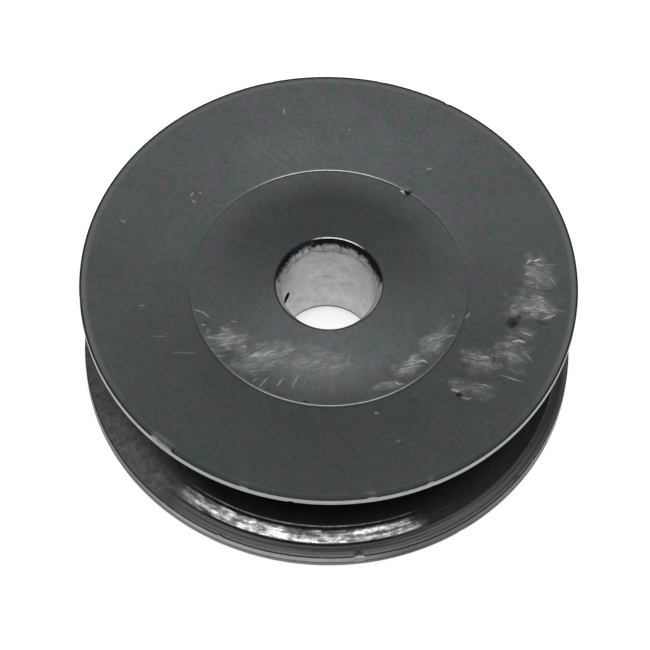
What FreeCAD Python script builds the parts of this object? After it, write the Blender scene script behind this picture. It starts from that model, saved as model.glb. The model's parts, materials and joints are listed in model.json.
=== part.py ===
"""V belt pulley: two dished flanges pressed onto a hub, with a sleeve in the bore and a set screw.

The origin is on the bore's axis, halfway between the two faces. +Z runs along the bore and +X runs
outwards along the set screw. The lower flange has the thicker rim. All sizes are in millimetres.
"""

import FreeCAD
import Part
import Sketcher
import math
import os

DRIVING = {
    "outer_radius": 31.75,
    "overall_width": 17.5,
    "upper_land": 1.15,
    "lower_land": 2.05,
    "rim_flat": 0.5,
    "wall_angle": 18.0,
    "edge_break": 0.12,
    "seam_radius": 17.7,
    "seam_depth": 1.35,
    "mouth_depth": 0.8,
    "collar_radius": 18.4,
    "sleeve_radius": 7.0,
    "bore_radius": 6.0,
    "mouth_flare": 0.85,
    "mouth_length": 1.35,
    "foot_chamfer": 0.5,
    "screw_radius": 1.95,
    "screw_clearance": 0.05,
    "screw_length": 10.0,
    "screw_lead": 0.35,
    "screw_tip": 6.9,
    "point_radius": 0.7,
    "point_length": 2.0,
    "point_lead": 0.15,
    "point_hole_radius": 0.85,
    "hole_mouth": 0.3,
    "socket_flats": 2.0,
    "socket_depth": 2.5,
    "stake_radius": 0.4,
    "stake_depth": 0.3,
    "stake_angle": -99.5,
}

HALF = "sheet.overall_width / 2"
GROOVE_DEPTH = "(sheet.outer_radius - sheet.collar_radius)"
WALL_RISE = f"{GROOVE_DEPTH} * tan(sheet.wall_angle * 1 deg)"
UPPER_FOOT = f"({HALF} - sheet.upper_land - {WALL_RISE})"
LOWER_FOOT = f"({HALF} - sheet.lower_land - {WALL_RISE})"
BREAK_RISE = "sheet.edge_break * tan(sheet.wall_angle * 1 deg)"
SEAM_LEVEL = f"({HALF} - sheet.seam_depth)"
MOUTH_LEVEL = f"({HALF} - sheet.mouth_depth)"
SCREW_HOLE_RADIUS = "(sheet.screw_radius + sheet.screw_clearance)"
SCREW_END = "(sheet.screw_tip + sheet.screw_length)"
SHOULDER = "(sheet.screw_tip + sheet.point_length)"
OUTSIDE = 1.0  # how far a cutting profile runs past the surface it opens

doc = FreeCAD.newDocument("v_belt_pulley")


def make_sheet():
    """The driving dimensions, one row each: name, value, with the name as the cell's alias."""
    sheet = doc.addObject("Spreadsheet::Sheet", "sheet")
    for row, (name, value) in enumerate(DRIVING.items(), start=1):
        sheet.set(f"A{row}", name)
        sheet.set(f"B{row}", str(value))
        sheet.setAlias(f"B{row}", name)
    doc.recompute()
    return sheet


def origin_plane(body, role):
    """A body's own origin plane or axis, found by its role."""
    for feature in body.Origin.OriginFeatures:
        if feature.Role == role:
            return feature
    raise ValueError(f"{body.Name} has no origin feature {role}")


def value_of(formula):
    """What a formula of the sheet's cells comes to, as a number of millimetres."""
    result = doc.getObject("sheet").evalExpression(formula.replace("sheet.", ""))
    return float(getattr(result, "Value", result))


def profile(body, name, corners):
    """A closed outline on the body's XZ plane. Each corner is a pair of formulas: across, up."""
    sketch = body.newObject("Sketcher::SketchObject", name)
    sketch.AttachmentSupport = [(origin_plane(body, "XZ_Plane"), "")]
    sketch.MapMode = "FlatFace"
    places = [FreeCAD.Vector(value_of(x), value_of(z), 0) for x, z in corners]
    count = len(places)
    for i in range(count):
        sketch.addGeometry(Part.LineSegment(places[i], places[(i + 1) % count]), False)
    for i in range(count):
        sketch.addConstraint(Sketcher.Constraint("Coincident", i, 2, (i + 1) % count, 1))
    for i, formulas in enumerate(corners):
        place_corner(sketch, i, places[i], formulas)
    return sketch


def place_corner(sketch, line, place, formulas):
    """Ties the start of a line to its two formulas, or to an axis where the formula is nought."""
    for kind, size, formula in zip(("DistanceX", "DistanceY"), place, formulas):
        if formula == "0":
            axis = -2 if kind == "DistanceX" else -1
            sketch.addConstraint(Sketcher.Constraint("PointOnObject", line, 1, axis))
            continue
        index = sketch.addConstraint(Sketcher.Constraint(kind, -1, 1, line, 1, size))
        sketch.setExpression(f"Constraints[{index}]", formula)


def revolve(body, name, corners, axis_role="V_Axis"):
    """A solid ring or rod turned from its outline about the sketch's own axis."""
    sketch = profile(body, name + "_outline", corners)
    turned = body.newObject("PartDesign::Revolution", name)
    turned.Profile = sketch
    turned.ReferenceAxis = (sketch, [axis_role])
    turned.Angle = 360
    doc.recompute()
    return turned


def cross_hole(body, name, corners):
    """Cuts a round hole that lies along the X axis. The corners give its half outline."""
    before = body.Shape.Volume
    sketch = profile(body, name + "_outline", corners)
    cut = body.newObject("PartDesign::Groove", name)
    cut.Profile = sketch
    cut.ReferenceAxis = (sketch, ["H_Axis"])
    cut.Angle = 360
    doc.recompute()
    if body.Shape.Volume >= before:
        raise ValueError(f"{name} removed nothing")
    return cut


def new_body(label):
    body = doc.addObject("PartDesign::Body", label)
    body.Label = label
    return body


def make_flange(name, land, foot):
    """A disc, face upwards: V wall below, a land at the rim, and a face that dips towards the hub."""
    body = new_body(name)
    wall_corner = f"{HALF} - {land}"
    revolve(body, name + "_turned", [
        ("sheet.seam_radius", foot),
        ("sheet.collar_radius", foot),
        ("sheet.outer_radius - sheet.edge_break", f"{wall_corner} - {BREAK_RISE}"),
        ("sheet.outer_radius", f"{wall_corner} + sheet.edge_break"),
        ("sheet.outer_radius", f"{HALF} - sheet.edge_break"),
        ("sheet.outer_radius - sheet.edge_break", HALF),
        ("sheet.outer_radius - sheet.edge_break - sheet.rim_flat", HALF),
        ("sheet.seam_radius + sheet.edge_break", SEAM_LEVEL),
        ("sheet.seam_radius", f"{SEAM_LEVEL} - sheet.edge_break"),
    ])
    return body


def turned_over(corners):
    """The same corners below the mid plane, in the order that carries an outline on."""
    return [(across, f"-({up})") for across, up in reversed(corners)]


def hub_side(foot):
    """The corners of the hub's upper half, from the sleeve's seat out to the collar."""
    return [
        ("sheet.sleeve_radius", MOUTH_LEVEL),
        ("sheet.seam_radius - sheet.edge_break", SEAM_LEVEL),
        ("sheet.seam_radius", f"{SEAM_LEVEL} - sheet.edge_break"),
        ("sheet.seam_radius", foot),
        ("sheet.collar_radius", foot),
    ]


def make_hub():
    """The barrel: a collar for the groove's floor, and end faces that rise gently to the bore."""
    body = new_body("hub_blank")
    revolve(body, "hub_turned", hub_side(UPPER_FOOT) + turned_over(hub_side(LOWER_FOOT)))
    cross_hole(body, "screw_hole", [
        ("0", "0"),
        ("0", SCREW_HOLE_RADIUS),
        ("sheet.collar_radius - sheet.hole_mouth", SCREW_HOLE_RADIUS),
        (f"sheet.collar_radius + {OUTSIDE}", f"{SCREW_HOLE_RADIUS} + sheet.hole_mouth + {OUTSIDE}"),
        (f"sheet.collar_radius + {OUTSIDE}", "0"),
    ])
    return body


def make_sleeve():
    """The bore's lining, flared at its upper mouth, with a small hole for the screw's point."""
    body = new_body("bore_sleeve")
    upper = [
        ("sheet.bore_radius", f"{MOUTH_LEVEL} - sheet.mouth_length"),
        ("sheet.bore_radius + sheet.mouth_flare", MOUTH_LEVEL),
        ("sheet.sleeve_radius", MOUTH_LEVEL),
    ]
    lower = [
        ("sheet.bore_radius", f"{MOUTH_LEVEL} - sheet.foot_chamfer"),
        ("sheet.bore_radius + sheet.foot_chamfer", MOUTH_LEVEL),
        ("sheet.sleeve_radius", MOUTH_LEVEL),
    ]
    revolve(body, "sleeve_turned", upper + turned_over(lower))
    cross_hole(body, "point_hole", [
        ("0", "0"),
        ("0", "sheet.point_hole_radius"),
        (f"sheet.sleeve_radius + {OUTSIDE}", "sheet.point_hole_radius"),
        (f"sheet.sleeve_radius + {OUTSIDE}", "0"),
    ])
    return body


def make_screw():
    """The set screw: a dog point, a threaded shank shown plain, and a hexagon socket."""
    body = new_body("set_screw")
    revolve(body, "screw_turned", [
        ("sheet.screw_tip", "0"),
        ("sheet.screw_tip", "sheet.point_radius - sheet.point_lead"),
        ("sheet.screw_tip + sheet.point_lead", "sheet.point_radius"),
        (SHOULDER, "sheet.point_radius"),
        (f"{SHOULDER} + sheet.screw_radius - sheet.point_radius", "sheet.screw_radius"),
        (f"{SCREW_END} - sheet.screw_lead", "sheet.screw_radius"),
        (SCREW_END, "sheet.screw_radius - sheet.screw_lead"),
        (SCREW_END, "0"),
    ], axis_role="H_Axis")
    cut_socket(body)
    return body


def cut_socket(body):
    """The hexagon socket in the screw's outer end."""
    before = body.Shape.Volume
    sketch = body.newObject("Sketcher::SketchObject", "socket_outline")
    sketch.AttachmentSupport = [(origin_plane(body, "YZ_Plane"), "")]
    sketch.MapMode = "FlatFace"
    sketch.setExpression("AttachmentOffset.Base.z", SCREW_END)
    corner = "sheet.socket_flats / sqrt(3)"
    reach = value_of(corner)
    turns = [math.radians(60 * i) for i in range(6)]
    places = [FreeCAD.Vector(reach * math.cos(a), reach * math.sin(a), 0) for a in turns]
    for i in range(6):
        sketch.addGeometry(Part.LineSegment(places[i], places[(i + 1) % 6]), False)
    sketch.addGeometry(Part.Circle(FreeCAD.Vector(), FreeCAD.Vector(0, 0, 1), reach), True)
    for i in range(6):
        sketch.addConstraint(Sketcher.Constraint("Coincident", i, 2, (i + 1) % 6, 1))
        sketch.addConstraint(Sketcher.Constraint("PointOnObject", i, 1, 6))
    for i in range(5):
        sketch.addConstraint(Sketcher.Constraint("Equal", i, i + 1))
    sketch.addConstraint(Sketcher.Constraint("Coincident", 6, 3, -1, 1))
    sketch.addConstraint(Sketcher.Constraint("PointOnObject", 0, 1, -1))
    size = sketch.addConstraint(Sketcher.Constraint("Radius", 6, reach))
    sketch.setExpression(f"Constraints[{size}]", corner)
    pocket = body.newObject("PartDesign::Pocket", "socket")
    pocket.Profile = sketch
    pocket.setExpression("Length", "sheet.socket_depth")
    doc.recompute()
    if body.Shape.Volume >= before:
        raise ValueError("the socket removed nothing")


def make_stake_tool():
    """The cone of a centre punch, point down, standing on the seam."""
    cone = doc.addObject("Part::Cone", "stake_tool")
    cone.Radius1 = 0
    cone.setExpression("Radius2", "sheet.stake_radius * 2")
    cone.setExpression("Height", "sheet.stake_depth * 2")
    cone.setExpression("Placement.Base.x", "sheet.seam_radius * cos(sheet.stake_angle * 1 deg)")
    cone.setExpression("Placement.Base.y", "sheet.seam_radius * sin(sheet.stake_angle * 1 deg)")
    cone.setExpression("Placement.Base.z", f"{SEAM_LEVEL} - sheet.stake_depth")
    return cone


def staked(blank, tool, label):
    """The blank with the punch mark cut out of it."""
    cut = doc.addObject("Part::Cut", label)
    cut.Base = blank
    cut.Tool = tool
    cut.Label = label
    return cut


def make_lower_flange(blank):
    """The lower disc: its blank turned over."""
    mirror = doc.addObject("Part::Mirroring", "lower_flange")
    mirror.Source = blank
    mirror.Base = FreeCAD.Vector(0, 0, 0)
    mirror.Normal = FreeCAD.Vector(0, 0, 1)
    mirror.Label = "lower_flange"
    return mirror


def check_model(pieces):
    """Stops if anything in the document failed, or if a piece isn't one closed, valid solid."""
    for item in doc.Objects:
        if "Invalid" in item.State or "Error" in item.State:
            raise ValueError(f"{item.Label} failed: {item.State}")
    for piece in pieces:
        shape = piece.Shape
        if shape.isNull() or not shape.isValid() or len(shape.Solids) != 1:
            raise ValueError(f"{piece.Label} is not one valid solid")


def main():
    make_sheet()
    upper_blank = make_flange("upper_blank", "sheet.upper_land", UPPER_FOOT)
    lower_blank = make_flange("lower_blank", "sheet.lower_land", LOWER_FOOT)
    hub_blank = make_hub()
    tool = make_stake_tool()
    pieces = [
        staked(upper_blank, tool, "upper_flange"),
        make_lower_flange(lower_blank),
        staked(hub_blank, tool, "hub"),
        make_sleeve(),
        make_screw(),
    ]
    doc.recompute()
    check_model(pieces)
    os.makedirs("parts", exist_ok=True)
    for piece in pieces:
        piece.Shape.exportStep(f"parts/{piece.Label}.step")
        print(piece.Label, round(piece.Shape.Volume, 2), piece.Shape.BoundBox)


main()
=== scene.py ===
"""The looks of a V belt pulley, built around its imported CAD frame.

Shapes and marks are worked out in millimetres and turned into metres when a mesh is made. A `seen` angle
runs anticlockwise round the pulley as the camera sees it: 0 is the right, 90 the far side and 270 the near.
"""
import json
import math

import bpy
import numpy as np
from mathutils import Matrix, Vector


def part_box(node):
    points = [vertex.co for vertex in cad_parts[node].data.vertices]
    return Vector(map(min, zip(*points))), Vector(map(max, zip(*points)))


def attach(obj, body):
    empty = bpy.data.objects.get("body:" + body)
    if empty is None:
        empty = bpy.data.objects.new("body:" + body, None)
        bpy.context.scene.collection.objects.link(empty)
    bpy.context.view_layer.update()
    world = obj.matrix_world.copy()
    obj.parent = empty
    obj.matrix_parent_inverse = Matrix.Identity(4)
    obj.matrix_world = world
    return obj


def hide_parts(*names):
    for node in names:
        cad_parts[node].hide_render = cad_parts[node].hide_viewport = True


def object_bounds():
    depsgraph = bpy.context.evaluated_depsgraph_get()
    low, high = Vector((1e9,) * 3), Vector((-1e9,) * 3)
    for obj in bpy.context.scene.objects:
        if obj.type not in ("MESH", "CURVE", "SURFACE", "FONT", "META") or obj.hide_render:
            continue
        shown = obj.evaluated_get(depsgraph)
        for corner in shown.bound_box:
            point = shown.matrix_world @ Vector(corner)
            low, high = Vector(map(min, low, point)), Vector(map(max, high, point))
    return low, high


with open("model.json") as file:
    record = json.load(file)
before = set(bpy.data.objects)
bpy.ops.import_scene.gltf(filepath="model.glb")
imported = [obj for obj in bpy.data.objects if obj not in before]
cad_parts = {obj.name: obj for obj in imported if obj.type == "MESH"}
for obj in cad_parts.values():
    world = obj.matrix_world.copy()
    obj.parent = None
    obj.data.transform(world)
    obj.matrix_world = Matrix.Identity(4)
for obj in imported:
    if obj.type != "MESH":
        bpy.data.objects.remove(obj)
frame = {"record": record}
cad_low, cad_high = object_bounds()

# ---------------------------------------------------------------- sizes, from the frame where it has them
MM = 1000.0


def low_corner(node):
    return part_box(node)[0] * MM


def high_corner(node):
    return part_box(node)[1] * MM


bore_mount = next(m for m in frame["record"]["mounts"] if m["name"] == "bore")
OUTER = high_corner("upper_flange").x
HALF = high_corner("upper_flange").z
UPPER_FOOT = low_corner("upper_flange").z
LOWER_FOOT = -high_corner("lower_flange").z
COLLAR = high_corner("hub").x
MOUTH = high_corner("hub").z
SLEEVE = high_corner("bore_sleeve").x
BORE = bore_mount["dims"]["r_mm"]
BORE_TOP = bore_mount["pos_m"][2] * MM + bore_mount["dims"]["length_mm"] / 2
BORE_FOOT = bore_mount["pos_m"][2] * MM - bore_mount["dims"]["length_mm"] / 2
SCREW_TIP = low_corner("set_screw").x
SCREW_END = high_corner("set_screw").x
SCREW = high_corner("set_screw").y

WALL_ANGLE = 18             # the lean of each groove wall, in degrees
WALL_SLOPE = math.tan(math.radians(WALL_ANGLE))
UPPER_LAND = HALF - UPPER_FOOT - (OUTER - COLLAR) * WALL_SLOPE
LOWER_LAND = HALF - LOWER_FOOT - (OUTER - COLLAR) * WALL_SLOPE
RIM_FLAT = 0.5
EDGE = 0.12
FLARE = 0.85               # the steep flare of the bore's upper mouth, across
SEAM = 17.7
SEAM_EDGE = 0.07
SEAM_LEVEL = HALF - 1.35
SCREW_HOLE = SCREW + 0.05
POINT_HOLE = 0.85
POINT = 0.7
POINT_LENGTH = 2.0
THREAD_PITCH = 0.7
THREAD_DEPTH = 0.32
SOCKET_FLATS = 2.0
SOCKET_DEPTH = 2.5

# ---------------------------------------------------------------- where the camera stands
VIEW_AZIMUTH = 114.5      # direction from the pulley to the camera, from +X
VIEW_ELEVATION = 58.07
VIEW_DISTANCE = 412.75
AXIS_ANGLE = 267.3        # where the camera aims on the plane of the top face: a seen angle and a radius
AXIS_RADIUS = 6.69
VIEW_ROLL = 1.61
LENS = 179.6
SENSOR = 36.0


def seen(angle):
    """A seen angle in degrees as an angle in radians from +X."""
    return math.radians(angle + VIEW_AZIMUTH - 270)


def on_face(angle, radius):
    """The x and y of a place given by its seen angle and its radius."""
    return radius * math.cos(seen(angle)), radius * math.sin(seen(angle))


# ---------------------------------------------------------------- material building
class Shader:
    """A material's nodes, made by short calls that hand back sockets. Lengths are in millimetres."""

    def __init__(self, name):
        self.material = bpy.data.materials.new(name)
        self.material.use_nodes = True
        self.tree = self.material.node_tree
        self.bsdf = self.tree.nodes["Principled BSDF"]
        metres = self.node("ShaderNodeTexCoord").outputs["Object"]
        self.place = self.scaled(metres, MM)
        parts = self.node("ShaderNodeSeparateXYZ", metres)
        self.height = self.math("MULTIPLY", parts.outputs["Z"], MM)
        self.flat = self.vector("MULTIPLY", self.place, (1, 1, 0))
        self.radius = self.node("ShaderNodeVectorMath", self.flat, operation="LENGTH").outputs["Value"]
        self.around = self.vector("NORMALIZE", self.flat)
        self.wavy = self.place

    def node(self, kind, *values, **settings):
        """A node with its settings made and its inputs, in order, linked or set. None skips an input."""
        made = self.tree.nodes.new(kind)
        for key, value in settings.items():
            setattr(made, key, value)
        for socket, value in zip(made.inputs, values):
            self.feed(socket, value)
        return made

    def feed(self, socket, value):
        if isinstance(value, bpy.types.NodeSocket):
            self.tree.links.new(value, socket)
        elif value is not None:
            socket.default_value = value

    def math(self, operation, *values):
        return self.node("ShaderNodeMath", *values, operation=operation).outputs[0]

    def add(self, a, b):
        return self.math("ADD", a, b)

    def times(self, a, b):
        return self.math("MULTIPLY", a, b)

    def most(self, a, b):
        return self.math("MAXIMUM", a, b)

    def vector(self, operation, *values):
        return self.node("ShaderNodeVectorMath", *values, operation=operation).outputs["Vector"]

    def scaled(self, vector, factor):
        made = self.node("ShaderNodeVectorMath", vector, operation="SCALE")
        self.feed(made.inputs["Scale"], factor)
        return made.outputs["Vector"]

    def smooth(self, value, start, end, low=0.0, high=1.0):
        """Goes smoothly from low to high as value goes from start to end, which may be the smaller."""
        made = self.node("ShaderNodeMapRange", value, start, end, low, high)
        made.interpolation_type = "SMOOTHSTEP"
        return made.outputs["Result"]

    def mix(self, factor, a, b):
        """Colour a where factor is 0 and b where it is 1."""
        made = self.node("ShaderNodeMix", data_type="RGBA")
        self.feed(made.inputs["Factor"], factor)
        self.feed(made.inputs["A"], a)
        self.feed(made.inputs["B"], b)
        return made.outputs["Result"]

    def noise(self, vector, scale=1.0, detail=2.0, roughness=0.5, warp=0.0):
        made = self.node("ShaderNodeTexNoise", vector)
        inputs = {"Scale": scale, "Detail": detail, "Roughness": roughness, "Distortion": warp}
        for key, value in inputs.items():
            self.feed(made.inputs[key], value)
        return made.outputs["Fac"]

    def polar(self, per_mm_round, per_mm_across, twist=0.0, seed=0.0):
        """A vector for noise that is drawn out along or across the turning direction.

        It has per_mm_round steps to a millimetre of rim, and per_mm_across to one of radius or height.
        A twist, in degrees to a millimetre of radius, leans lines that run across.
        """
        direction = self.around
        if twist:
            angle = self.math("MULTIPLY", self.radius, math.radians(twist))
            turned = self.node("ShaderNodeVectorRotate", direction)
            turned.rotation_type = "Z_AXIS"
            self.feed(turned.inputs["Angle"], angle)
            direction = turned.outputs["Vector"]
        across = self.times(self.add(self.radius, self.height), per_mm_across)
        rise = self.node("ShaderNodeCombineXYZ", 0.0, 0.0, self.add(across, seed)).outputs["Vector"]
        return self.vector("ADD", self.scaled(direction, OUTER * per_mm_round), rise)

    def local(self, angle, radius, along, across, turn):
        """Coordinates round a place on the face, one unit being half of along or of across."""
        x, y = on_face(angle, radius)
        made = self.node("ShaderNodeMapping", self.wavy, vector_type="TEXTURE")
        made.inputs["Location"].default_value = (x, y, 0)
        made.inputs["Rotation"].default_value = (0, 0, seen(turn))
        made.inputs["Scale"].default_value = (along / 2, across / 2, MM)
        return made.outputs["Vector"]

    def patch(self, angle, radius, along, across, turn=0.0, ragged=0.6, core=0.3):
        """1 inside an oval on the face, falling to 0 at its ragged border."""
        place = self.local(angle, radius, along, across, turn)
        gap = self.node("ShaderNodeVectorMath", place, operation="LENGTH")
        wander = self.times(self.add(self.noise(self.place, 0.9, 3), -0.5), ragged * 2)
        return self.smooth(self.add(gap.outputs["Value"], wander), 1.0, core)

    def strokes(self, angle, radius, length, width, turn=0.0, start=0.55, end=0.7, warp=0.3):
        """Streaks of about a length and a width, lying along the seen direction turn."""
        place = self.local(angle, radius, length * 2, width * 2, turn)
        return self.smooth(self.noise(place, 1.0, 2.5, 0.55, warp), start, end)

    def waver(self, scale, reach):
        """Makes the places of patches and strokes wander by up to reach, for uneven outlines."""
        made = self.node("ShaderNodeTexNoise", self.place)
        for key, value in (("Scale", scale), ("Detail", 3.0), ("Roughness", 0.7)):
            self.feed(made.inputs[key], value)
        shift = self.vector("SUBTRACT", made.outputs["Color"], (0.5, 0.5, 0.5))
        self.wavy = self.vector("ADD", self.place, self.scaled(shift, reach * 2))

    def stroke(self, angle, radius, length, width, turn, sag, strength):
        """A tapered stroke on the face, its middle bowed out by sag to the left of its direction."""
        parts = self.node("ShaderNodeSeparateXYZ", self.local(angle, radius, length, width, turn))
        along = self.times(parts.outputs["X"], parts.outputs["X"])
        across = self.math("MULTIPLY_ADD", along, 2 * sag / width, parts.outputs["Y"])
        return self.smooth(self.math("MULTIPLY_ADD", across, across, along), 1.0, 0.1, 0.0, strength)

    def all_strokes(self, marks):
        total = self.stroke(*marks[0])
        for mark in marks[1:]:
            total = self.most(total, self.stroke(*mark))
        return total

    def towards(self, angle, start, end):
        """1 round a seen angle, falling to 0 over start to end degrees away from it."""
        facing = self.node("ShaderNodeVectorMath", self.around, operation="DOT_PRODUCT")
        facing.inputs[1].default_value = (*on_face(angle, 1.0), 0)
        outer, inner = math.cos(math.radians(end)), math.cos(math.radians(start))
        return self.smooth(facing.outputs["Value"], outer, inner)

    def bump(self, height, distance, strength=1.0, under=None):
        """A normal from a height field whose full swing is distance millimetres."""
        made = self.node("ShaderNodeBump")
        self.feed(made.inputs["Strength"], strength)
        self.feed(made.inputs["Distance"], distance / MM)
        self.feed(made.inputs["Height"], height)
        if under is not None:
            self.feed(made.inputs["Normal"], under)
        return made.outputs["Normal"]

    def surface(self, colour, rough, metallic=1.0, normal=None):
        self.feed(self.bsdf.inputs["Base Color"], colour)
        self.feed(self.bsdf.inputs["Roughness"], rough)
        self.feed(self.bsdf.inputs["Metallic"], metallic)
        if normal is not None:
            self.feed(self.bsdf.inputs["Normal"], normal)
        return self.material


def grey(level, tint=(1.0, 1.0, 1.0)):
    return tuple(level * part for part in tint) + (1.0,)


COOL = (0.88, 1.0, 1.02)
GREENISH = (0.84, 1.03, 0.98)
PURPLISH = (0.98, 0.96, 1.06)
WARM = (1.04, 1.0, 0.94)


# ---------------------------------------------------------------- the materials
# Marks on the upper face: seen angle, radius, length, width, seen direction, sag, strength.
FLANGE_STROKES = [
    (9, 26.9, 1.4, 0.40, 15, 0.15, 0.95), (9, 25.9, 1.1, 0.35, 30, 0.10, 0.7),
    (5, 25.5, 1.3, 0.35, 20, 0.12, 0.6), (7, 28.4, 1.7, 0.25, 178, 0.0, 0.3),
    (2, 28.6, 2.4, 0.30, 131, -0.3, 0.35), (353, 27.2, 2.2, 0.45, 160, 0.25, 0.75),
    (351, 28.3, 2.6, 0.40, 20, -0.3, 0.55), (352, 23.9, 2.2, 0.50, 136, -0.2, 0.35),
    (345, 26.0, 2.4, 0.35, 155, -0.1, 0.6), (342, 25.4, 2.1, 0.42, 0, 0.30, 0.95),
    (338, 27.2, 2.4, 0.28, 133, -0.3, 0.4), (330, 27.0, 4.4, 0.28, 159, 0.0, 0.4),
    (333, 22.4, 1.8, 0.40, 179, -0.15, 0.75), (332, 20.7, 1.2, 0.40, 170, 0.10, 0.6),
    (324, 24.4, 2.8, 0.35, 160, -0.1, 0.5), (317, 22.2, 1.6, 0.70, 154, 0.1, 0.55),
    (317, 23.9, 2.4, 0.35, 165, 0.2, 0.4), (348, 18.2, 1.3, 0.35, 50, 0.0, 0.35),
    (190, 23.9, 0.9, 0.25, 6, 0.0, 0.35), (202, 22.8, 2.0, 0.25, 5, 0.0, 0.25),
    (211, 20.9, 4.0, 0.25, 5, 0.1, 0.3), (289, 19.7, 0.8, 0.45, 10, 0.0, 0.45),
    (292, 24.6, 0.8, 0.40, 20, 0.0, 0.4), (144, 22.2, 0.8, 0.30, 70, 0.0, 0.4),
    (146, 21.4, 0.7, 0.30, 110, 0.0, 0.35), (142, 21.6, 0.5, 0.30, 30, 0.0, 0.4),
    (163, 28.1, 0.9, 0.25, 160, 0.0, 0.3), (104, 27.0, 0.8, 0.30, 60, 0.0, 0.3),
    (85, 23.9, 0.6, 0.25, 0, 0.0, 0.25), (55, 22.1, 0.8, 0.40, 170, 0.1, 0.35),
]
FLANGE_SHADES = [
    (348, 23.9, 2.1, 1.9, 20, 0.1, 0.8), (350, 24.6, 0.9, 0.8, 0, 0.0, 0.7),
    (346.5, 24.0, 0.9, 0.8, 0, 0.0, 0.7), (316.6, 23.0, 1.0, 0.8, 170, 0.0, 0.95),
    (333, 23.6, 2.0, 0.50, 75, -0.2, 0.55), (343, 25.6, 1.4, 0.35, 0, 0.3, 0.45),
    (349, 27.6, 2.4, 0.40, 160, 0.2, 0.5), (8, 26.0, 1.8, 0.40, 20, 0.0, 0.4),
    (359, 27.8, 1.2, 0.40, 170, 0.0, 0.4),
]
HUB_STROKES = [
    (318, 16.1, 2.0, 0.32, 0, 0.35, 0.75), (303, 16.9, 1.6, 0.30, 165, 0.30, 0.7),
    (332, 16.3, 3.2, 0.35, 46, 0.2, 0.3), (326, 15.4, 1.4, 0.35, 70, 0.2, 0.35),
    (336, 17.0, 1.2, 0.35, 20, -0.2, 0.4), (346, 16.3, 0.7, 0.30, 60, 0.0, 0.35),
    (196, 16.6, 3.3, 0.26, 153, -0.35, 0.45), (202, 17.0, 0.9, 0.35, 0, 0.0, 0.4),
    (208, 14.7, 1.8, 0.22, 165, 0.15, 0.5), (206, 13.2, 1.2, 0.20, 1, 0.0, 0.35),
    (209, 17.0, 1.6, 0.30, 1, 0.0, 0.45), (212, 15.6, 4.2, 0.24, 3, 0.1, 0.45),
    (214, 14.3, 1.0, 0.40, 30, 0.2, 0.6), (218, 15.8, 1.5, 0.22, 1, 0.0, 0.4),
    (222, 14.1, 1.1, 0.35, 1, 0.0, 0.45), (219, 17.3, 1.4, 0.22, 1, 0.0, 0.35),
    (242, 16.4, 2.6, 0.25, 50, 0.0, 0.35), (248, 15.5, 1.6, 0.28, 55, 0.0, 0.4),
    (255, 14.8, 2.4, 0.28, 68, 0.1, 0.35), (238, 16.8, 1.4, 0.25, 40, 0.0, 0.3),
    (234, 14.0, 0.6, 0.35, 20, 0.0, 0.4), (284, 11.4, 2.6, 0.25, 82, 0.0, 0.2),
    (57.5, 17.35, 1.0, 0.40, 150, 0.0, 1.0),
]
HUB_SHADES = [
    (318, 16.4, 1.2, 0.25, 165, 0.2, 0.5), (229, 13.3, 5.6, 0.22, 36, -0.5, 0.55),
    (220, 16.0, 2.6, 0.24, 10, -0.2, 0.4), (210, 16.2, 2.4, 0.22, 5, 0.0, 0.35),
    (216, 14.4, 2.2, 0.20, 10, 0.1, 0.35), (245, 17.0, 1.2, 0.30, 50, 0.0, 0.35),
    (250, 17.25, 1.3, 0.30, 160, 0.0, 0.85), (262, 17.25, 1.0, 0.30, 172, 0.0, 0.85),
    (340, 15.8, 1.2, 0.30, 50, 0.0, 0.35),
]
# Rubbed places: seen angle, radius, length, width, seen direction, strength.
FLANGE_RUBS = [
    (354, 26.2, 8.4, 6.2, 165, 1.0), (4, 26.8, 7.6, 5.6, 100, 0.6), (338, 25.4, 7.6, 5.4, 110, 0.75),
    (331, 22.2, 7.4, 4.6, 165, 0.75), (321, 23.4, 9.0, 3.2, 160, 0.6), (345, 25.6, 4.6, 3.0, 150, 0.5),
]
HUB_RUBS = [
    (313, 15.5, 6.0, 3.2, 35, 0.85), (298, 16.3, 4.4, 1.8, 12, 0.7), (330, 15.6, 8.5, 3.8, 58, 0.6),
    (214, 15.3, 8.0, 4.6, 8, 0.75), (234, 13.6, 11.0, 5.4, 20, 0.7), (262, 11.5, 13.0, 6.0, 0, 0.3),
]


def face_base(s):
    """The faces' blackened steel: a dark colour, faintly mottled with green and purple."""
    mottle = s.noise(s.place, 0.16, 3, 0.6)
    hue = s.smooth(s.noise(s.place, 0.6, 4, 0.75), 0.40, 0.60)
    colour = s.mix(hue, grey(0.0405, (0.74, 1.08, 0.96)), grey(0.0425, (1.10, 0.92, 1.10)))
    colour = s.mix(s.times(s.smooth(mottle, 0.35, 0.7), 0.6), colour, grey(0.050, COOL))
    return s.mix(s.smooth(s.noise(s.place, 1.8, 4, 0.75), 0.35, 0.65, 0.0, 0.40), colour, grey(0.066, COOL))


def finish_face(s, colour, ridges=None):
    """Satin roughness, turning lines and a fine tooth, with any ridges raised."""
    fine = s.noise(s.place, 2.6, 3, 0.6)
    normal = s.bump(s.noise(s.polar(0.02, 4.0), 1.0, 2, 0.6), 0.0012)
    normal = s.bump(fine, 0.0035, 1.0, normal)
    if ridges is not None:
        normal = s.bump(ridges, -0.006, 1.0, normal)
    return s.surface(colour, s.smooth(fine, 0.3, 0.7, 0.36, 0.43), 1.0, normal)


def plain_face():
    """The lower face, with no marks of its own."""
    s = Shader("blackened_face")
    return finish_face(s, face_base(s))


def knocked(s, knocks):
    """1 at the angles of the given knocks, where bare metal shows."""
    total = None
    for knock in knocks:
        reach = math.degrees(knock[1] / 2 / OUTER)
        there = s.towards(knock[0], reach * 0.7, reach)
        total = there if total is None else s.most(total, there)
    return total


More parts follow.
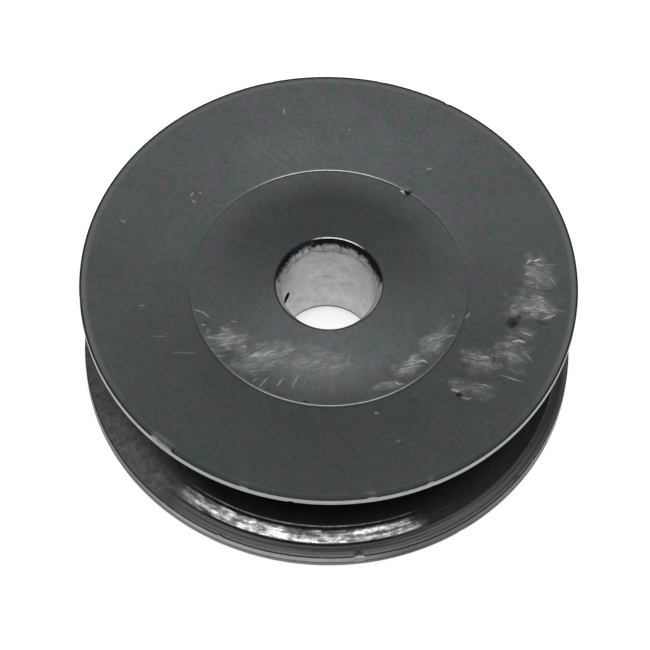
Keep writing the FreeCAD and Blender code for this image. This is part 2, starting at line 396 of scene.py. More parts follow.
def rim_tones(s, colour):
    """The rim's border: rubbed lighter, partly as painted light since it fades out on the near side, where
    painted shade darkens it instead, with a thin dark line at the very edge.
    """
    border = s.smooth(s.radius, OUTER - 1.15, OUTER - 0.55)
    near = s.towards(270, 30, 80)
    # wear and painted light: the lighter border is kept off the near side
    rubbed = s.times(border, s.smooth(near, 1.0, 0.0, 0.0, 0.8))
    colour = s.mix(rubbed, colour, grey(0.080, (0.97, 1.0, 0.98)))
    # painted shade on the near side of the border
    shaded = s.times(s.smooth(s.radius, OUTER - 0.75, OUTER - 0.5), s.times(near, 0.7))
    colour = s.mix(shaded, colour, grey(0.018, COOL))
    colour = s.mix(s.smooth(s.radius, OUTER - 0.30, OUTER - 0.22), colour, grey(0.014, COOL))
    nick = s.times(knocked(s, UPPER_KNOCKS[:1]), s.smooth(s.radius, OUTER - 0.5, OUTER - 0.3))
    return s.mix(nick, colour, grey(0.085))


CLOUD = 0.17               # how far the rubbed places, their ridges and the strokes go towards bare metal
RIDGE = 0.30
STROKE = 0.62


def marked_face(name, strokes, shades, rubs, ridge_turn, fan):
    """A face with strokes, dark shades and cloudy rubbed places. fan is a patch of faint lines outwards."""
    s = Shader(name)
    s.waver(0.9, 0.35)
    colour = face_base(s)
    rubbed = None
    for angle, radius, length, width, turn, strength in rubs:
        rub = s.times(s.patch(angle, radius, length, width, turn, 0.75, 0.05), strength)
        rubbed = rub if rubbed is None else s.most(rubbed, rub)
    grain = s.smooth(s.noise(s.place, 1.3, 4, 0.7, 0.8), 0.25, 0.7, 0.35, 1.0)
    ridges = s.times(rubbed, s.strokes(345, 25, 2.6, 0.5, ridge_turn, 0.44, 0.66, 1.8))
    wear = s.add(s.times(s.times(rubbed, grain), CLOUD), s.times(ridges, RIDGE))

    angle, radius, length, width, twist, start, end, strength = fan
    lines = s.smooth(s.noise(s.polar(2.4, 0.10, twist), 1.0, 3, 0.7), start, end)
    spread = s.patch(angle, radius, length, width, 0, 0.4, 0.0)
    wear = s.most(wear, s.times(s.times(spread, lines), strength))
    flecks = s.smooth(s.noise(s.place, 1.5, 4, 0.75), 0.69, 0.76)
    wear = s.most(wear, s.times(flecks, 0.14))
    bright = s.times(s.all_strokes(strokes), s.smooth(s.noise(s.place, 2.4, 3, 0.7), 0.25, 0.6, 0.35, 1.0))
    wear = s.most(wear, s.times(bright, STROKE))
    colour = s.mix(wear, colour, grey(0.42, (1.0, 1.0, 0.985)))
    dark = s.times(s.all_strokes(shades), s.smooth(s.noise(s.place, 1.9, 3, 0.7), 0.2, 0.55, 0.5, 1.0))
    colour = s.mix(dark, colour, grey(0.008, (1.7, 0.85, 1.0)))
    return finish_face(s, rim_tones(s, colour), ridges)


def flange_face():
    fan = (106, 21.5, 20, 9.0, -1.4, 0.40, 0.75, 0.06)
    return marked_face("flange_face", FLANGE_STROKES, FLANGE_SHADES, FLANGE_RUBS, 165, fan)


def hub_face():
    fan = (266, 12.5, 18, 10.0, 0.5, 0.30, 0.85, 0.07)
    return marked_face("hub_face", HUB_STROKES, HUB_SHADES, HUB_RUBS, 15, fan)


def land_steel():
    """The narrow land round each rim: turned steel rubbed nearly bare, darker on the lower flange, where a
    painted reflection lightens the front and painted shade darkens the strip below the fine line.
    """
    s = Shader("rubbed_land")
    line = s.noise(s.polar(0.05, 6.0), 1.0, 2)
    stain = s.smooth(s.noise(s.polar(0.5, 0.8), 1.0, 3, 0.6), 0.5, 0.7)
    colour = s.mix(s.smooth(line, 0.35, 0.65), grey(0.27, COOL), grey(0.33))
    lower = s.smooth(s.height, 0.5, -0.5)
    line_level = -(HALF - LOWER_LAND + LINE_DROP)
    strip = s.smooth(s.height, line_level + 0.05, line_level - 0.05)
    # painted reflection of the floor: the lower land is lighter towards the front
    front_reflection = s.towards(255, 12, 36)
    lower_colour = s.mix(front_reflection, grey(0.075, PURPLISH), grey(0.30))
    # painted shade on the strip below the fine line
    lower_colour = s.mix(s.times(strip, 0.6), lower_colour, grey(0.07, PURPLISH))
    chip = s.times(s.towards(279.2, 0.5, 1.1), s.smooth(s.height, line_level + 0.4, line_level + 0.9))
    lower_colour = s.mix(chip, lower_colour, grey(0.42))
    colour = s.mix(lower, colour, lower_colour)
    colour = s.mix(s.times(stain, 0.3), colour, grey(0.10, COOL))
    return s.surface(colour, s.smooth(line, 0.3, 0.7, 0.32, 0.44), 1.0, s.bump(line, 0.002))


def edge_steel():
    """The small rounded corners: dark, with a few rubbed places."""
    s = Shader("worn_edge")
    rubbed = s.smooth(s.noise(s.polar(0.5, 0.5), 1.0, 4, 0.65), 0.62, 0.74)
    above = s.times(s.smooth(s.height, 0.0, 1.0), knocked(s, UPPER_KNOCKS[:4]))
    below = s.times(s.smooth(s.height, 0.0, -1.0), knocked(s, LOWER_KNOCKS[:1]))
    knocks = s.most(s.times(above, 0.35), s.times(below, 0.7))
    colour = s.mix(s.most(s.times(rubbed, 0.4), knocks), grey(0.022, COOL), grey(0.40))
    return s.surface(colour, 0.34)


def seam_steel():
    """The two fine chamfers at the seam, rubbed bright along the far and the near side, where the brightness
    is partly a painted highlight.
    """
    # bare metal with a painted highlight on the far and the near side
    s = Shader("seam_edge")
    rubbed = s.most(s.towards(92, 8, 40), s.times(s.towards(270, 18, 52), 0.6))
    rubbed = s.times(rubbed, s.smooth(s.noise(s.polar(0.3, 0.0), 1.0, 3), 0.3, 0.6, 0.7, 1.0))
    colour = s.mix(rubbed, grey(0.13, COOL), grey(0.50))
    return s.surface(colour, 0.42)


def wall_steel():
    """The V walls: black, painted darker than the faces as shade in the groove and lighter on the left side
    as painted light, with the band where the belt runs polished to streaky, pitted metal in places.
    """
    s = Shader("groove_wall")
    depth = s.math("SUBTRACT", OUTER, s.radius)
    ragged = s.times(s.add(s.noise(s.polar(0.5, 0.6), 1.0, 4, 0.65), -0.5), 0.5)
    band_start = s.smooth(depth, WORN_START, WORN_START + 0.06)
    band = s.times(band_start, s.smooth(s.add(depth, ragged), WORN_END, WORN_END - 0.35))
    line = s.smooth(s.math("ABSOLUTE", s.add(depth, -LINE_IN)), 0.12, 0.04)
    stretches = None
    for middle, end, start in WORN_STRETCHES:
        stretch = s.towards(middle, start, end)
        stretches = stretch if stretches is None else s.most(stretches, stretch)
    uneven = s.smooth(s.noise(s.polar(0.35, 1.6, 0, 9), 1.0, 4, 0.7), 0.38, 0.62, 0.25, 1.0)
    streak = s.noise(s.polar(0.09, 5.0), 1.0, 3, 0.65)
    pits = s.smooth(s.noise(s.polar(1.1, 3.4, 0, 3), 1.0, 4, 0.75), 0.46, 0.60)
    bare = s.mix(s.smooth(streak, 0.38, 0.60), grey(0.26, COOL), grey(0.80, WARM))
    bare = s.mix(s.times(pits, 0.60), bare, grey(0.05, COOL))
    shade = s.smooth(s.noise(s.place, 0.5, 4, 0.7), 0.3, 0.7)
    # painted shade: the groove's blackened steel is painted darker than the faces and the lip
    dark = s.mix(shade, grey(0.011, (0.95, 1.08, 0.9)), grey(0.015, (1.0, 0.92, 1.15)))
    # painted light on the left side of the groove, fading into painted shade deeper in
    sides = s.times(s.towards(200, 12, 42), s.smooth(depth, 7.5, 0.5))
    side_light_mottle = s.smooth(s.noise(s.place, 0.9, 5, 0.75), 0.3, 0.7)
    side_light = s.mix(side_light_mottle, grey(0.05, GREENISH), grey(0.10, (1.05, 1.0, 1.02)))
    dark = s.mix(s.times(sides, 0.9), dark, side_light)
    lip = s.smooth(depth, WORN_START + 0.05, WORN_START - 0.05)
    fine_lines = s.smooth(s.noise(s.polar(0.04, 7.0, 0, 2), 1.0, 2, 0.6), 0.36, 0.6)
    lip_colour = s.mix(fine_lines, grey(0.030, COOL), grey(0.065))
    lip_colour = s.mix(s.smooth(depth, 0.5, 0.2, 0.0, 0.6), lip_colour, grey(0.10))
    dark = s.mix(s.times(lip, s.smooth(sides, 0.6, 0.2)), dark, lip_colour)
    run = s.most(s.times(band, uneven), s.times(line, 0.4))
    colour = s.mix(s.times(run, stretches), dark, bare)
    rough = s.mix(run, grey(0.42), s.mix(streak, grey(0.22), grey(0.36)))
    normal = s.bump(streak, 0.010)
    return s.surface(colour, rough, 1.0, s.bump(pits, -0.006, 1.0, normal))


def hidden_steel():
    """Machined surfaces inside the press fits and the collar: plain dark turned steel."""
    s = Shader("machined_dark")
    line = s.noise(s.polar(0.03, 5.0), 1.0, 2)
    colour = s.mix(line, grey(0.04, COOL), grey(0.09, COOL))
    return s.surface(colour, 0.42, 1.0, s.bump(line, 0.004))


def rim_steel():
    """The thin ring at the end of the sleeve: dark, with a painted highlight along the far side."""
    s = Shader("sleeve_rim")
    # painted highlight on the far side of the ring
    bright = s.times(s.towards(80, 12, 32), s.smooth(s.noise(s.polar(0.8, 0.5), 1.0, 3), 0.3, 0.5, 0.5, 1.0))
    return s.surface(s.mix(bright, grey(0.016, COOL), grey(0.60)), 0.4)


def mouth_steel():
    """The sleeve's flared mouth: light metal, with the dark finish of the faces run over its far side,
    painted shade over its near side and along its top edge on the left.
    """
    s = Shader("sleeve_mouth")
    share = s.most(s.towards(62, 38, 70), s.times(s.towards(138, 20, 46), 0.85))
    blotch = s.noise(s.place, 1.3, 4, 0.72, 0.6)
    lean = s.add(s.smooth(s.height, BORE_TOP, MOUTH, -0.28, 0.30), 0.34)
    laid = s.add(blotch, s.times(share, lean))
    colour = s.mix(s.times(s.smooth(laid, 0.56, 0.72), 0.75), grey(0.58), grey(0.085, GREENISH))
    tint = s.mix(s.towards(122, 6, 20), grey(0.010), grey(0.022, (0.6, 0.9, 1.7)))
    colour = s.mix(s.smooth(laid, 0.76, 0.86), colour, tint)
    # painted shade over the near side of the mouth
    colour = s.mix(s.towards(268, 34, 58), colour, grey(0.03, COOL))
    # painted shade along the top edge of the mouth on the left side
    brim_shade = s.times(s.smooth(s.height, MOUTH - 0.22, MOUTH - 0.12), s.towards(200, 34, 60))
    colour = s.mix(brim_shade, colour, grey(0.02, COOL))
    return s.surface(colour, 0.42, 0.85, s.bump(laid, 0.008))


def bore_steel():
    """The sleeve's fine-bored wall: dull light grey metal with faint rings and stains, and painted shade at
    its foot.
    """
    s = Shader("bored_light")
    ring = s.noise(s.polar(0.12, 1.6), 1.0, 3, 0.55)
    cloud = s.noise(s.place, 0.35, 3, 0.55)
    colour = s.mix(s.smooth(cloud, 0.35, 0.7), grey(0.50), grey(0.60, (1.01, 1.0, 0.985)))
    colour = s.mix(s.times(s.smooth(ring, 0.55, 0.75), 0.25), colour, grey(0.40))
    nearly_out = s.smooth(s.height, BORE_TOP - 1.2, BORE_TOP)
    far = s.most(s.towards(55, 40, 75), s.times(s.towards(135, 15, 40), 0.8))
    cover = s.add(s.noise(s.place, 1.2, 4, 0.72, 0.6), s.times(s.times(nearly_out, far), 0.24))
    colour = s.mix(s.times(s.smooth(cover, 0.56, 0.72), 0.7), colour, grey(0.14, COOL))
    speck = s.smooth(s.noise(s.place, 0.8, 2, 0.5), 0.74, 0.78)
    colour = s.mix(s.times(speck, 0.6), colour, grey(0.12, COOL))
    # painted shade along the foot of the bore, where it meets the floor
    foot_shade = s.smooth(s.height, BORE_FOOT + 0.5, BORE_FOOT + 0.2)
    colour = s.mix(s.times(foot_shade, 0.85), colour, grey(0.05, COOL))
    return s.surface(colour, s.smooth(ring, 0.3, 0.7, 0.40, 0.52), 0.6, s.bump(ring, 0.004))


def hole_shade_steel():
    """The wall of a drilled hole, painted near black as shade."""
    s = Shader("drilled_shade")
    line = s.noise(s.place, 3.0, 2)
    return s.surface(s.mix(line, grey(0.010), grey(0.02)), 0.6, 0.6)


def screw_steel():
    """Black alloy steel of the set screw, with a little bare metal on its crests and edges."""
    s = Shader("screw_black")
    scratch = s.smooth(s.noise(s.place, 3.5, 3, 0.7), 0.56, 0.7)
    colour = s.mix(s.times(scratch, 0.5), grey(0.05, COOL), grey(0.28))
    return s.surface(colour, 0.36, 1.0, s.bump(scratch, -0.006))


# ---------------------------------------------------------------- turned shapes
EDGE_STEPS = 3
SHARP_ANGLE = 38           # degrees


def outline(corners):
    """Points round a closed outline, and the surface that each strip between two points belongs to.

    A corner is ((radius, height), edge size, edge surface, surface that follows, steps along it).
    """
    points, strips = [], []
    for i, (place, edge, edge_surface, surface, steps) in enumerate(corners):
        here = Vector(place)
        before = Vector(corners[i - 1][0])
        after_place, after_edge = corners[(i + 1) % len(corners)][:2]
        after = Vector(after_place)
        arrive = here + (before - here).normalized() * edge
        leave = here + (after - here).normalized() * edge
        end = after + (here - after).normalized() * after_edge
        for k in range(EDGE_STEPS if edge else 0):
            share = k / EDGE_STEPS
            points.append(arrive.lerp(here, share).lerp(here.lerp(leave, share), share))
            strips.append(edge_surface)
        for k in range(steps):
            points.append(leave.lerp(end, k / steps))
            strips.append(surface)
    return np.array(points), strips


def outward(points):
    """Unit normals that point out of an outline drawn anticlockwise."""
    along = np.roll(points, -1, 0) - np.roll(points, 1, 0)
    normal = np.stack([along[:, 1], -along[:, 0]], 1)
    return normal / np.linalg.norm(normal, axis=1)[:, None]


def turn(name, corners, segments, materials, carve=None, upside_down=False):
    """A ring turned from its outline. carve gives how deep the metal is worn at each angle and point."""
    points, strips = outline(corners)
    normals = outward(points)
    angles = np.linspace(0, 2 * math.pi, segments, endpoint=False)
    depth = carve(angles[:, None], points) if carve else np.zeros((segments, len(points)))
    radius = points[:, 0] - normals[:, 0] * depth
    height = points[:, 1] - normals[:, 1] * depth
    if upside_down:
        height = -height
    x = radius * np.cos(angles)[:, None]
    y = radius * np.sin(angles)[:, None]
    vertices = np.stack([x, y, height], 2).reshape(-1, 3) / MM
    i, j = np.meshgrid(np.arange(segments), np.arange(len(points)), indexing="ij")
    next_i, next_j = (i + 1) % segments, (j + 1) % len(points)
    count = len(points)
    corners_of = [i * count + j, next_i * count + j, next_i * count + next_j, i * count + next_j]
    if upside_down:
        corners_of.reverse()
    quads = np.stack(corners_of, 2).reshape(-1, 4)
    slots = sorted(set(strips))
    picked = np.tile([slots.index(strip) for strip in strips], segments)
    return make_piece(name, vertices, quads, [materials[slot] for slot in slots], picked)


def make_piece(name, vertices, faces, materials, picked=None):
    """A smooth-shaded mesh object, sharp where its faces turn by more than SHARP_ANGLE."""
    mesh = bpy.data.meshes.new(name)
    mesh.from_pydata(vertices.tolist(), [], [list(face) for face in faces])
    for material in materials:
        mesh.materials.append(material)
    if picked is not None:
        mesh.polygons.foreach_set("material_index", picked.astype(np.int32))
    mesh.shade_smooth()
    mesh.set_sharp_from_angle(angle=math.radians(SHARP_ANGLE))
    piece = bpy.data.objects.new(name, mesh)
    bpy.context.scene.collection.objects.link(piece)
    return piece


def drill(piece, radius, start, end, material, mouth=0.0):
    """Cuts a round hole along +X, from start to end, flared at its outer end by mouth."""
    sides = 64
    steps = [(start, radius), (end - mouth, radius), (end + 1.0, radius + mouth + 1.0 if mouth else radius)]
    turns = np.linspace(0, 2 * math.pi, sides, endpoint=False)
    rings = [[(x, r * math.cos(a), r * math.sin(a)) for a in turns] for x, r in steps]
    vertices, faces = stack(rings)
    cutter = make_piece("cutter", vertices, faces, [material])
    cut = piece.modifiers.new("drill", "BOOLEAN")
    cut.object = cutter
    cut.operation = "DIFFERENCE"
    cut.solver = "EXACT"
    cut.material_mode = "TRANSFER"
    drilled = bpy.data.meshes.new_from_object(piece.evaluated_get(bpy.context.evaluated_depsgraph_get()))
    piece.modifiers.clear()
    piece.data = drilled
    drilled.name = piece.name
    drilled.set_sharp_from_angle(angle=math.radians(SHARP_ANGLE))
    bpy.data.objects.remove(cutter)
    return piece


def stack(rings):
    """Vertices in metres and faces of a closed rod through rings of the same count, capped at both ends."""
    count = len(rings[0])
    vertices = np.array(rings, float).reshape(-1, 3) / MM
    faces = []
    for k in range(len(rings) - 1):
        for i in range(count):
            j = (i + 1) % count
            faces.append((k * count + i, k * count + j, (k + 1) * count + j, (k + 1) * count + i))
    faces.append(tuple(reversed(range(count))))
    faces.append(tuple(range((len(rings) - 1) * count, len(rings) * count)))
    return vertices, faces


# ---------------------------------------------------------------- wear that is cut into the metal
def wrapped(angle):
    return (angle + math.pi) % (2 * math.pi) - math.pi


def dent(angles, points, seen_angle, width, depth, centre, reach, flatness=2):
    """A knock of a width and a depth in millimetres, centred on a corner of the outline."""
    swing = np.abs(wrapped(angles - seen(seen_angle))) * OUTER / (width / 2)
    gap = np.hypot(points[:, 0] - centre[0], points[:, 1] - centre[1]) / reach
    return depth * np.clip(1 - swing**flatness, 0, 1) * np.clip(1 - gap, 0, 1)


TOP_EDGE = (OUTER, HALF)
UPPER_CORNER = (OUTER, HALF - UPPER_LAND)
LOWER_CORNER = (OUTER, HALF - LOWER_LAND)
# Knocks on the rims: seen angle, width, depth, the corner that was hit, reach, flatness.
UPPER_KNOCKS = [
    (230.6, 3.6, 0.30, TOP_EDGE, 0.75, 4),
    (252.2, 1.2, 0.22, TOP_EDGE, 0.5, 2),
    (281.0, 1.3, 0.26, TOP_EDGE, 0.55, 2),
    (294.7, 1.0, 0.20, TOP_EDGE, 0.45, 2),
    (187.0, 0.9, 0.12, TOP_EDGE, 0.4, 2),
    (62.0, 0.9, 0.12, TOP_EDGE, 0.4, 2),
    (263.0, 0.9, 0.12, UPPER_CORNER, 0.4, 2),
]
LOWER_KNOCKS = [
    (278.8, 1.5, 0.34, LOWER_CORNER, 0.85, 1),
    (246.0, 0.9, 0.12, LOWER_CORNER, 0.4, 2),
    (322.0, 1.2, 0.10, LOWER_CORNER, 0.4, 2),
]
SMALL_KNOCKS = 24


def small_knocks(seed, corner):
    """A scatter of little dings along both corners of a land."""
    random = np.random.default_rng(seed)
    knocks = []
    for _ in range(SMALL_KNOCKS):
        edge = TOP_EDGE if random.random() < 0.6 else corner
        width, depth = random.uniform(0.4, 1.1), random.uniform(0.015, 0.045)
        knocks.append((random.uniform(0, 360), width, depth, edge, 0.3, 2))
    return knocks


WORN_STRETCHES = [(264, 34, 16), (120, 36, 18), (48, 24, 10)]   # middle, half width, half width at full wear
WORN_START = 1.62          # from the rim down to the step where the belt ran
WORN_END = 3.5
WORN_STEP = 0.15
LINE_IN = 3.85             # from the rim down to the fine line under the worn band


def worn_share(angles):
    """How much of the full belt wear there is at each angle."""
    share = np.zeros_like(angles)
    for middle, half_width, full in WORN_STRETCHES:
        low, high = math.cos(math.radians(half_width)), math.cos(math.radians(full))
        rise = np.clip((np.cos(angles - seen(middle)) - low) / (high - low), 0, 1)
        share = np.maximum(share, rise)
    return share


def wall_wear(angles, points):
    """The shallow dish that the belt has worn into a V wall, with fine rings in it."""
    random = np.random.default_rng(11)
    depth_in = OUTER - points[:, 0]
    on_wall = (points[:, 1] < HALF - UPPER_LAND) & (points[:, 0] > COLLAR)
    dish_start = np.clip((depth_in - WORN_START) / 0.1, 0, 1)
    dish = dish_start * np.clip((WORN_END - depth_in) / (WORN_END - 1.72), 0, 1)
    rings = np.zeros((len(angles), len(points)))
    for _ in range(26):
        centre, width = random.uniform(1.8, 7.5), random.uniform(0.06, 0.16)
        start, span = random.uniform(-math.pi, math.pi), random.uniform(0.5, 2.5)
        there = np.clip(1 - (wrapped(angles - start) / span) ** 2, 0, 1)
        rings += random.uniform(0.003, 0.010) * there * np.exp(-(((depth_in - centre) / width) ** 2))
    line = 0.03 * np.exp(-(((depth_in - LINE_IN) / 0.09) ** 2))
    return on_wall * ((WORN_STEP * dish + line) * worn_share(angles) + rings)


STAKE_ANGLE = 56.0
STAKE_RADIUS = 0.45
STAKE_DEPTH = 0.3


def punch(angles, points):
    """The centre-punch mark on the seam."""
    x, y = points[:, 0] * np.cos(angles), points[:, 0] * np.sin(angles)
    stake_x, stake_y = on_face(STAKE_ANGLE, SEAM)
    gap = np.hypot(x - stake_x, y - stake_y) / STAKE_RADIUS
    return STAKE_DEPTH * np.clip(1 - gap, 0, 1) * (points[:, 1] > SEAM_LEVEL - 0.5)


# Pits in the upper face: seen angle, radius, size, depth.
GOUGES = [
    (348.0, 23.9, 0.8, 0.05),
    (316.6, 23.0, 0.4, 0.05),
    (304.5, 19.7, 0.5, 0.03),
    (292.3, 24.5, 0.6, 0.03),
    (55.2, 22.1, 0.5, 0.03),
    (162.8, 28.1, 0.5, 0.02),
    (104.3, 27.0, 0.6, 0.02),
]


def gouges(angles, points):
    """Shallow pits in the upper face."""
    x, y = points[:, 0] * np.cos(angles), points[:, 0] * np.sin(angles)
    on_top = points[:, 1] > SEAM_LEVEL - 0.2
    total = np.zeros_like(x)
    for angle, radius, size, depth in GOUGES:
        pit_x, pit_y = on_face(angle, radius)
        total += depth * np.exp(-((x - pit_x) ** 2 + (y - pit_y) ** 2) / size**2)
    return total * on_top


def upper_wear(angles, points):
    total = wall_wear(angles, points) + punch(angles, points) + gouges(angles, points)
    for knock in UPPER_KNOCKS + small_knocks(3, UPPER_CORNER):
        total = total + dent(angles, points, *knock)
    return total


def lower_wear(angles, points):
    total = wall_wear(angles, points)
    for knock in LOWER_KNOCKS + small_knocks(5, LOWER_CORNER):
        total = total + dent(angles, points, *knock)
    return total


# ---------------------------------------------------------------- the pieces
def stand_for(piece, node, body):
    """Puts a piece in a CAD node's place, hiding the node, and on its body."""
    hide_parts(node)
    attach(piece, body)
    return piece


FLANGE_SEGMENTS = 900
LINE_DROP = 1.2            # from the lower land's corner to the fine line turned round it
LINE_DEPTH = 0.05
LINE_WIDTH = 0.14


def wall_point(depth, land):
    """A point of the outline on the V wall, a depth in from the rim."""
    return OUTER - depth, HALF - land - depth * WALL_SLOPE


def face_point(depth):
    """A point of the outline on the dished face, a depth in from the rim."""
    slope = (HALF - SEAM_LEVEL) / (OUTER - RIM_FLAT - EDGE - SEAM)
    return OUTER - depth, HALF - (depth - RIM_FLAT - EDGE) * slope


def flange_outline(land, foot, line):
    """The outline of a flange, face upwards. line adds the fine line round the land."""
    corners = [
        ((SEAM, foot), 0, None, "hidden", 1),
        ((COLLAR, foot), 0, None, "wall", 6),
        (wall_point(7.5, land), 0, None, "wall", 14),
        (wall_point(4.0, land), 0, None, "wall", 30),
        ((OUTER, HALF - land), EDGE, "edge", "land", 4),
    ]
    if line:
        middle = HALF - land + LINE_DROP
        corners += [
            ((OUTER, middle - LINE_WIDTH / 2), 0, None, "edge", 1),
            ((OUTER - LINE_DEPTH, middle), 0, None, "edge", 1),
            ((OUTER, middle + LINE_WIDTH / 2), 0, None, "land", 4),
        ]
    return corners + [
        ((OUTER, HALF), EDGE, "edge", "face", 2),
        ((OUTER - RIM_FLAT - EDGE, HALF), 0, None, "face", 4),
        (face_point(2.0), 0, None, "face", 32),
        ((SEAM, SEAM_LEVEL), SEAM_EDGE, "seam", "hidden", 1),
    ]


def make_flanges(materials, upper_face, lower_face):
    outline_up = flange_outline(UPPER_LAND, UPPER_FOOT, False)
    upper_materials = {**materials, "face": upper_face}
    upper = turn("upper_disc", outline_up, FLANGE_SEGMENTS, upper_materials, upper_wear)
    stand_for(upper, "upper_flange", "pulley")
    outline_down = flange_outline(LOWER_LAND, LOWER_FOOT, True)
    lower_materials = {**materials, "face": lower_face}
    lower = turn("lower_disc", outline_down, FLANGE_SEGMENTS, lower_materials, lower_wear, True)
    stand_for(lower, "lower_flange", "pulley")


HUB_SEGMENTS = 720
HUB_FALL = 0.077           # slope of the hub's face from the bore to the break
HUB_BREAK = 13.0
HUB_CURL = 0.0147          # from the break outwards the face curls up again towards the seam


def hub_level(radius):
    beyond = max(0.0, radius - HUB_BREAK)
    return MOUTH - HUB_FALL * (radius - SLEEVE) + HUB_CURL * beyond**2


def make_hub(materials):
    face = [(SLEEVE, 12), (HUB_BREAK, 2), (13.8, 2), (14.6, 2), (15.4, 2), (16.2, 2), (17.0, 2)]
    lower = [((across, -hub_level(across)), 0, None, "underside", steps) for across, steps in face]
    upper = [((across, hub_level(across)), 0, None, "face", 2) for across, steps in reversed(face[2:])]
    corners = lower + [
        ((SEAM, -hub_level(SEAM)), SEAM_EDGE, "seam", "hidden", 1),
        ((SEAM, -LOWER_FOOT), 0, None, "hidden", 1),
        ((COLLAR, -LOWER_FOOT), 0, None, "hidden", 6),
        ((COLLAR, UPPER_FOOT), 0, None, "hidden", 1),
        ((SEAM, UPPER_FOOT), 0, None, "hidden", 1),
        ((SEAM, hub_level(SEAM)), SEAM_EDGE, "seam", "face", 2),
    ] + upper + [
        ((HUB_BREAK, hub_level(HUB_BREAK)), 0, None, "face", 12),
        ((SLEEVE, MOUTH), 0, None, "hidden", 1),
    ]
    piece = turn("hub_barrel", corners, HUB_SEGMENTS, materials, punch)
    drill(piece, SCREW_HOLE, SLEEVE - 3, COLLAR, materials["hole"], 0.3)
    return stand_for(piece, "hub", "pulley")


SLEEVE_SEGMENTS = 480
MOUTH_EASE = 0.2           # how softly the flare runs into the bore
FOOT_EASE = 0.03


def make_sleeve(materials):
    foot = BORE + MOUTH + BORE_FOOT
    corners = [
        ((BORE, BORE_FOOT), FOOT_EASE, "bore", "bore", 2),
        ((foot, -MOUTH), 0, None, "rim", 1),
        ((SLEEVE, -MOUTH), 0, None, "hidden", 1),
        ((SLEEVE, MOUTH), 0, None, "rim", 1),
        ((BORE + FLARE, MOUTH), 0, None, "mouth", 8),
        ((BORE, BORE_TOP), MOUTH_EASE, "mouth", "bore", 24),
    ]
    piece = turn("bore_lining", corners, SLEEVE_SEGMENTS, materials)
    drill(piece, POINT_HOLE, BORE - 2, SLEEVE + 1, materials["hole"])
    return stand_for(piece, "bore_sleeve", "pulley")


SCREW_SIDES = 72
SCREW_LEAD = 0.35          # the chamfer at the screw's outer end
THREAD_STEPS = 10


def screw_ring(x, radius_at):
    turns = np.linspace(0, 2 * math.pi, SCREW_SIDES, endpoint=False)
    return [(x, radius_at(a) * math.cos(a), radius_at(a) * math.sin(a)) for a in turns]


def thread_radius(x, angle, start, end):
    """The screw's radius on its helical thread, fading out at both ends of the shank."""
    phase = (x / THREAD_PITCH - angle / (2 * math.pi)) % 1
    valley = max(0.0, 1 - abs(phase - 0.5) / 0.38)
    fade = min(1.0, (x - start) / THREAD_PITCH, (end - x) / THREAD_PITCH)
    return SCREW - THREAD_DEPTH * valley * max(0.0, fade)


def hexagon_radius(angle):
    """The distance from the middle of the socket to its wall."""
    return SOCKET_FLATS / 2 / math.cos((angle % (math.pi / 3)) - math.pi / 6)


def make_screw(materials):
    """The set screw, from its point to the socket in its outer end."""
    shoulder = SCREW_TIP + POINT_LENGTH
    shank = shoulder + SCREW - POINT
    rings = [
        screw_ring(SCREW_TIP, lambda a: POINT - 0.15),
        screw_ring(SCREW_TIP + 0.15, lambda a: POINT),
        screw_ring(shoulder, lambda a: POINT),
    ]
    steps = THREAD_STEPS * int((SCREW_END - SCREW_LEAD - shank) / THREAD_PITCH + 1)
    for k in range(steps + 1):
        x = shank + (SCREW_END - SCREW_LEAD - shank) * k / steps
        rings.append(screw_ring(x, lambda a: thread_radius(x, a, shank, SCREW_END - SCREW_LEAD)))
    rings += [
        screw_ring(SCREW_END, lambda a: SCREW - SCREW_LEAD),
        screw_ring(SCREW_END, lambda a: hexagon_radius(a) + 0.08),
        screw_ring(SCREW_END - 0.08, hexagon_radius),
        screw_ring(SCREW_END - SOCKET_DEPTH, hexagon_radius),
    ]
    vertices, faces = stack(rings)
    piece = make_piece("grub_screw", vertices, faces, [materials["screw"]])
    return stand_for(piece, "set_screw", "screw")


def build_pulley():
    plain, seam, hidden, hole = plain_face(), seam_steel(), hidden_steel(), hole_shade_steel()
    edge, land, wall = edge_steel(), land_steel(), wall_steel()
    flange = {"edge": edge, "seam": seam, "hidden": hidden, "land": land, "wall": wall}
    make_flanges(flange, flange_face(), plain)
    make_hub({"face": hub_face(), "underside": plain, "seam": seam, "hidden": hidden, "hole": hole})
    mouth, bore, rim = mouth_steel(), bore_steel(), rim_steel()
    make_sleeve({"mouth": mouth, "bore": bore, "rim": rim, "hidden": hidden, "hole": hole})
    make_screw({"screw": screw_steel()})


# ---------------------------------------------------------------- the studio
FLOOR_SIZE = 6.0
FLOOR_GLOW = 0.66
SOFTBOX_HEIGHT = 0.60
SOFTBOX_WIDTH = 0.70
SOFTBOX_POWER = 3.87
ROOM_LIGHT = 0.55


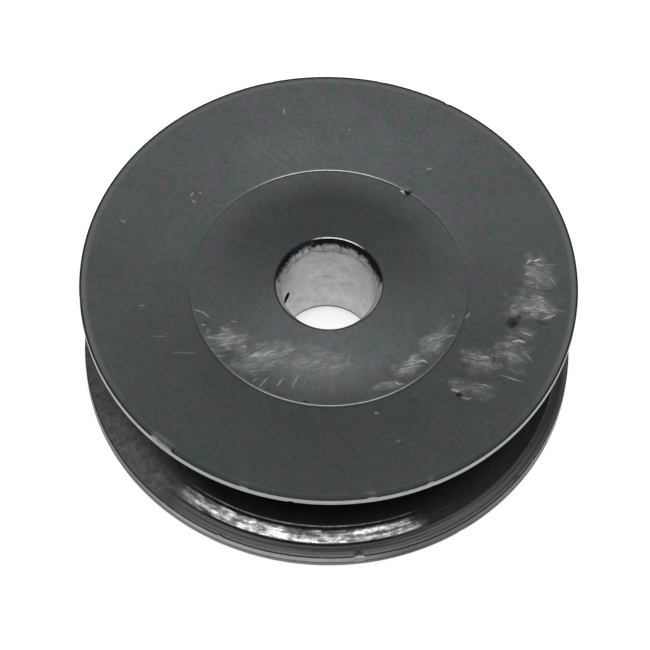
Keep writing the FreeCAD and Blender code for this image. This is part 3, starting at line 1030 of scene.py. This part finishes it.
def make_floor():
    """A plain pale table under the pulley, lit a little from within."""
    reach = FLOOR_SIZE / 2
    level = cad_low.z
    turns = [(-1, -1), (1, -1), (1, 1), (-1, 1)]
    corners = [(x * reach, y * reach, level) for x, y in turns]
    mesh = bpy.data.meshes.new("floor")
    mesh.from_pydata(corners, [], [(0, 1, 2, 3)])
    floor = bpy.data.objects.new("floor", mesh)
    bpy.context.scene.collection.objects.link(floor)
    s = Shader("pale_table")
    grain = s.noise(s.place, 0.02, 2)
    s.surface(s.mix(grain, grey(0.44), grey(0.46)), 0.9, 0.0)
    s.bsdf.inputs["Specular IOR Level"].default_value = 0.1
    s.bsdf.inputs["Emission Color"].default_value = grey(1.0)
    s.bsdf.inputs["Emission Strength"].default_value = FLOOR_GLOW
    mesh.materials.append(s.material)


def make_lights():
    """One large round softbox overhead, in a pale room that the camera sees as white."""
    light = bpy.data.lights.new("softbox", "AREA")
    light.shape = "DISK"
    light.size = SOFTBOX_WIDTH
    light.energy = SOFTBOX_POWER
    lamp = bpy.data.objects.new("softbox", light)
    lamp.location = (0, 0, SOFTBOX_HEIGHT)
    bpy.context.scene.collection.objects.link(lamp)
    world = bpy.data.worlds.new("room")
    bpy.context.scene.world = world
    world.use_nodes = True
    world.node_tree.nodes["Background"].inputs["Color"].default_value = (1, 1, 1, 1)
    links = world.node_tree.links
    seen_directly = world.node_tree.nodes.new("ShaderNodeLightPath").outputs["Is Camera Ray"]
    strength = world.node_tree.nodes.new("ShaderNodeMath")
    strength.operation = "MULTIPLY_ADD"
    strength.inputs[1].default_value = 1.0 - ROOM_LIGHT
    strength.inputs[2].default_value = ROOM_LIGHT
    links.new(seen_directly, strength.inputs[0])
    links.new(strength.outputs[0], world.node_tree.nodes["Background"].inputs["Strength"])


def make_camera():
    """A long lens, looking down at the pulley from its near side, with a slight roll."""
    data = bpy.data.cameras.new("camera")
    data.lens = LENS
    data.sensor_width = SENSOR
    data.clip_start, data.clip_end = 0.01, 20.0
    azimuth, elevation = math.radians(VIEW_AZIMUTH), math.radians(VIEW_ELEVATION)
    level = math.cos(elevation)
    back = Vector((math.cos(azimuth) * level, math.sin(azimuth) * level, math.sin(elevation)))
    place = Vector((0, 0, HALF)) + back * VIEW_DISTANCE
    aim = Vector((*on_face(AXIS_ANGLE, AXIS_RADIUS), HALF))
    turned = (aim - place).to_track_quat("-Z", "Y").to_matrix().to_4x4()
    roll = Matrix.Rotation(math.radians(VIEW_ROLL), 4, "Z")
    camera = bpy.data.objects.new("camera", data)
    camera.matrix_world = Matrix.Translation(place / MM) @ turned @ roll
    bpy.context.scene.collection.objects.link(camera)
    bpy.context.scene.camera = camera
    bpy.context.scene.view_settings.view_transform = "Standard"


build_pulley()
make_floor()
make_lights()
make_camera()
